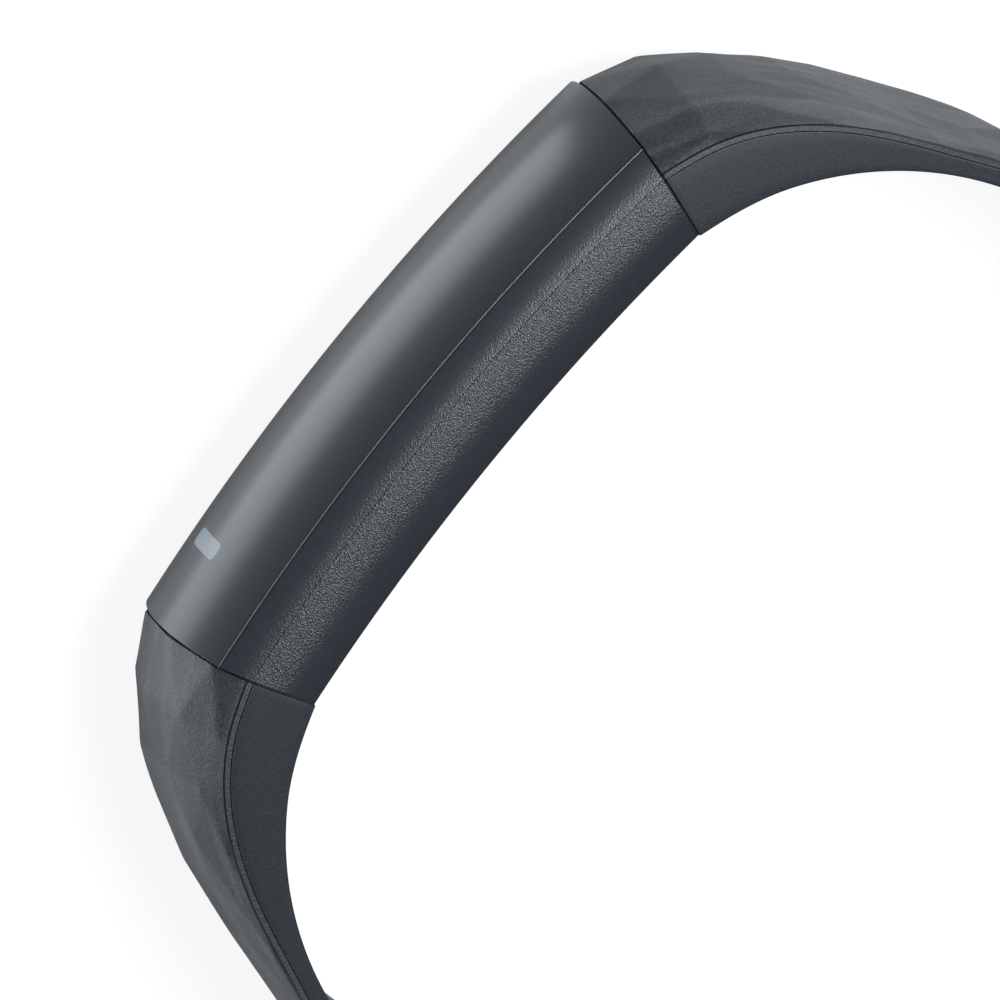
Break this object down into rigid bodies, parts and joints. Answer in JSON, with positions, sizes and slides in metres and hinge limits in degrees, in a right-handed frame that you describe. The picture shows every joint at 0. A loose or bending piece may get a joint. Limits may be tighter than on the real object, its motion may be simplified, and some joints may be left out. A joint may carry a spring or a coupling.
{
  "type": "fitness tracker band",
  "caption": "Slim curved fitness tracker pod with a smoked lens, optical sensor and a soft faceted strap that closes in a loop with a peg clasp.",
  "frame": {"origin": "bottom centre of the band lying on its side, in the middle of the loop", "axes": "+Z along the wrist, +X along the pod towards the touch mark and the holed strap, -Y out of the lens"},
  "size_m": [0.0772, 0.0784, 0.0192],
  "materials": {
    "lens": "smoked gloss",
    "mark": "satin inlay",
    "resin": "clear optical resin under the smoked lens",
    "display": "dark, unlit",
    "foam": "closed-cell foam",
    "ribbon": "polyimide film",
    "housing": "fine pebbled grain",
    "seal": "silicone seal",
    "window": "infrared-clear black",
    "board": "solder mask",
    "led": "clear package",
    "chip": "moulded package",
    "gold": "plated contact",
    "chassis": "moulded",
    "steel": "turned and pressed steel",
    "connector": "moulded",
    "copper": "copper strip",
    "cell": "foil pouch",
    "tungsten": "sintered weight",
    "strap": "satin elastomer with soft facets",
    "clasp": "dark satin metal"
  },
  "bodies": {
    "pod": {"front_lens": "lens", "touch_mark": "mark", "lens_resin": "resin", "display_panel": "display", "display_foam": "foam", "display_ribbon": "ribbon", "upper_housing": "housing", "housing_seal": "seal", "rear_cover": "housing", "sensor_window": "window", "sensor_board": "board", "sensor_leds": "led", "photodiode": "chip", "sensor_ribbon": "ribbon", "charging_contacts": "gold", "chassis": "chassis", "chassis_screws": "steel", "main_board": "board", "board_chips": "chip", "board_connector": "connector", "antenna": "copper", "battery": "cell", "battery_guard_board": "board", "motor_case": "steel", "motor_lid": "steel", "motor_shaft": "steel", "strap_pins": "steel", "long_strap_root": "strap", "clasp_strap_root": "strap"},
    "clasp_link": {"clasp_strap_link": "strap"},
    "clasp_end": {"clasp_strap_end": "strap", "clasp_pegs": "clasp", "clasp_plate": "clasp"},
    "tail": {"long_strap_tail": "strap"},
    "rotor": {"motor_rotor": "tungsten"}
  },
  "joints": [
    {"name": "clasp_strap_flex", "type": "hinge", "parent": "pod", "child": "clasp_link", "pos_m": [-0.03864, 0.00184, 0.0096], "axis": [0, 0, 1], "range_deg": [0, 9.5], "stiffness_Nm_per_rad": 0.01},
    {"name": "clasp_peel", "type": "hinge", "parent": "clasp_link", "child": "clasp_end", "pos_m": [-0.01262, 0.03908, 0.0096], "axis": [0, 0, 1], "range_deg": [0, 65], "stiffness_Nm_per_rad": 0.004},
    {"name": "tail_flex", "type": "hinge", "parent": "pod", "child": "tail", "pos_m": [0.01125, 0.03394, 0.0096], "axis": [0, 0, 1], "range_deg": [0, 25], "stiffness_Nm_per_rad": 0.004},
    {"name": "rotor_spin", "type": "hinge", "parent": "pod", "child": "rotor", "pos_m": [0.0124, -0.03229, 0.0096], "axis": [0, 1, 0], "continuous": true}
  ],
  "couplings": [
    {"joint": "clasp_strap_flex", "follows": "clasp_peel", "ratio": 0.14}
  ]
}
